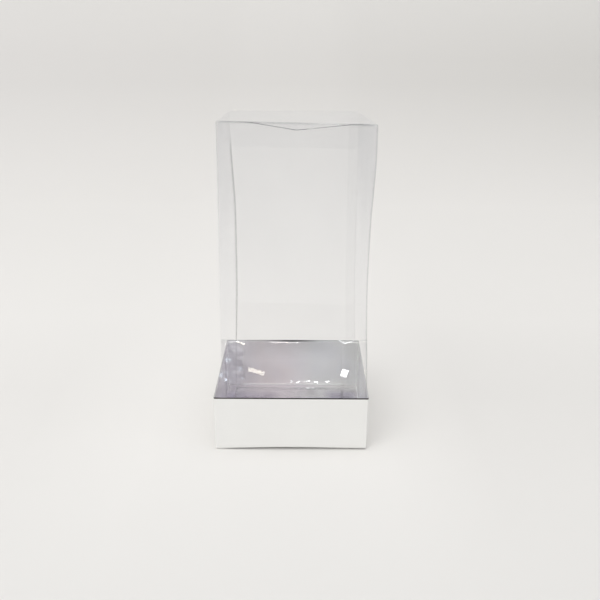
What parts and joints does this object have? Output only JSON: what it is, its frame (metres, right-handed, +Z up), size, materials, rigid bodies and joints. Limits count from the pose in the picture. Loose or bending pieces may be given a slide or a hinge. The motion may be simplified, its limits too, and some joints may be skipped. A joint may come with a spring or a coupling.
{
  "type": "clear folded film box in a board tray",
  "caption": "Tall square clear folded film box with a tuck lid and drooping dust flaps, standing inside an open folded board tray, white outside and silver inside.",
  "frame": {"origin": "under the tray, in the middle of its square footprint, on the surface the object stands on", "axes": "+Z up, the clear box's long direction; +X to the viewer's right; -Y to the front, where the lid tucks in"},
  "size_m": [0.1016, 0.1016, 0.2159],
  "materials": {
    "clear_film": "gloss",
    "white_board": "satin",
    "silver_board": "gloss"
  },
  "bodies": {
    "tray": {"tray_floor": "silver_board", "tray_front_wall": "white_board", "tray_back_wall": "white_board", "tray_left_wall": "white_board", "tray_right_wall": "white_board", "tray_tab_front_left": "silver_board", "tray_tab_front_right": "silver_board", "tray_tab_back_left": "silver_board", "tray_tab_back_right": "silver_board"},
    "clear_box": {"film_front_panel": "clear_film", "film_back_panel": "clear_film", "film_left_panel": "clear_film", "film_right_panel": "clear_film", "film_glue_flap": "clear_film", "film_bottom_panel": "clear_film", "film_bottom_tuck_flap": "clear_film", "film_bottom_dust_flap_left": "clear_film", "film_bottom_dust_flap_right": "clear_film"},
    "lid": {"film_lid_panel": "clear_film"},
    "lid_tuck": {"film_lid_tuck_flap": "clear_film"},
    "dust_flap_left": {"film_top_dust_flap_left": "clear_film"},
    "dust_flap_right": {"film_top_dust_flap_right": "clear_film"}
  },
  "joints": [
    {"name": "box_lift", "type": "slide", "parent": "tray", "child": "clear_box", "axis": [0, 0, 1], "range_m": [0, 0.06]},
    {"name": "lid_fold", "type": "hinge", "parent": "clear_box", "child": "lid", "pos_m": [0.0025, 0.04435, 0.21575], "axis": [-1, 0, 0], "range_deg": [0, 225]},
    {"name": "tuck_fold", "type": "hinge", "parent": "lid", "child": "lid_tuck", "pos_m": [0.0025, -0.04855, 0.21575], "axis": [-1, 0, 0], "range_deg": [0, 57]},
    {"name": "left_dust_fold", "type": "hinge", "parent": "clear_box", "child": "dust_flap_left", "pos_m": [-0.04425, 0, 0.21515], "axis": [0, -1, 0], "range_deg": [0, 90]},
    {"name": "right_dust_fold", "type": "hinge", "parent": "clear_box", "child": "dust_flap_right", "pos_m": [0.04925, 0, 0.21515], "axis": [0, 1, 0], "range_deg": [0, 90]}
  ],
  "couplings": [
    {"joint": "tuck_fold", "follows": "lid_fold", "ratio": 0.25},
    {"joint": "left_dust_fold", "follows": "lid_fold", "ratio": 0.4},
    {"joint": "right_dust_fold", "follows": "lid_fold", "ratio": 0.4}
  ]
}
